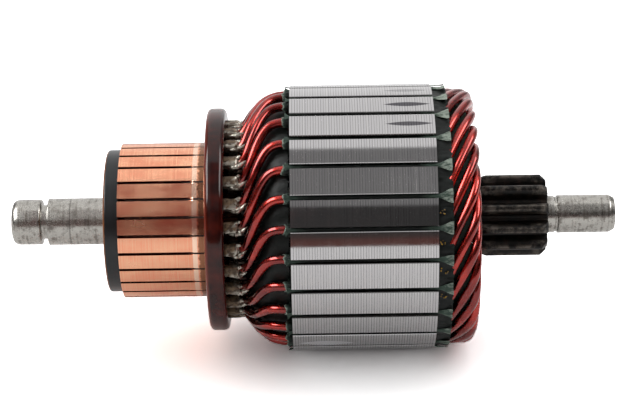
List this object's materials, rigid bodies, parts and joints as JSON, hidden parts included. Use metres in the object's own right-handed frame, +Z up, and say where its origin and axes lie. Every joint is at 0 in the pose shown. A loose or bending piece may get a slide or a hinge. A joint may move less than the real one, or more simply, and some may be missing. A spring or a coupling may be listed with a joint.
{
  "type": "motor armature",
  "caption": "Wound motor armature: slotted laminated core and commutator on a shaft with bearing journals and an integral spur pinion at the drive end.",
  "frame": {"origin": "on the shaft's axis, in the middle of the bearing journal at the commutator end", "axes": "+X along the shaft towards the pinion, +Z up"},
  "size_m": [0.1286, 0.0568, 0.0568],
  "materials": {
    "steel": "ground",
    "lamination": "turned",
    "paper": "matt",
    "moulding": "satin",
    "mica": "matt",
    "varnished_ring": "gloss",
    "copper": "turned",
    "enamel": "enamelled"
  },
  "bodies": {
    "root": {"shaft": "steel", "lamination_stack": "lamination", "slot_liners": "paper", "commutator_hub": "moulding", "mica_segments": "mica", "riser_ring": "varnished_ring", "commutator_bar_01": "copper", "commutator_bar_02": "copper", "commutator_bar_03": "copper", "commutator_bar_04": "copper", "commutator_bar_05": "copper", "commutator_bar_06": "copper", "commutator_bar_07": "copper", "commutator_bar_08": "copper", "commutator_bar_09": "copper", "commutator_bar_10": "copper", "commutator_bar_11": "copper", "commutator_bar_12": "copper", "commutator_bar_13": "copper", "commutator_bar_14": "copper", "commutator_bar_15": "copper", "commutator_bar_16": "copper", "commutator_bar_17": "copper", "commutator_bar_18": "copper", "commutator_bar_19": "copper", "commutator_bar_20": "copper", "commutator_bar_21": "copper", "commutator_bar_22": "copper", "commutator_bar_23": "copper", "commutator_bar_24": "copper", "commutator_bar_25": "copper", "commutator_bar_26": "copper", "commutator_bar_27": "copper", "coil_01": "enamel", "coil_02": "enamel", "coil_03": "enamel", "coil_04": "enamel", "coil_05": "enamel", "coil_06": "enamel", "coil_07": "enamel", "coil_08": "enamel", "coil_09": "enamel", "coil_10": "enamel", "coil_11": "enamel", "coil_12": "enamel", "coil_13": "enamel", "coil_14": "enamel", "coil_15": "enamel", "coil_16": "enamel", "coil_17": "enamel", "coil_18": "enamel", "coil_19": "enamel", "coil_20": "enamel", "coil_21": "enamel", "coil_22": "enamel", "coil_23": "enamel", "coil_24": "enamel", "coil_25": "enamel", "coil_26": "enamel", "coil_27": "enamel"}
  },
  "joints": []
}
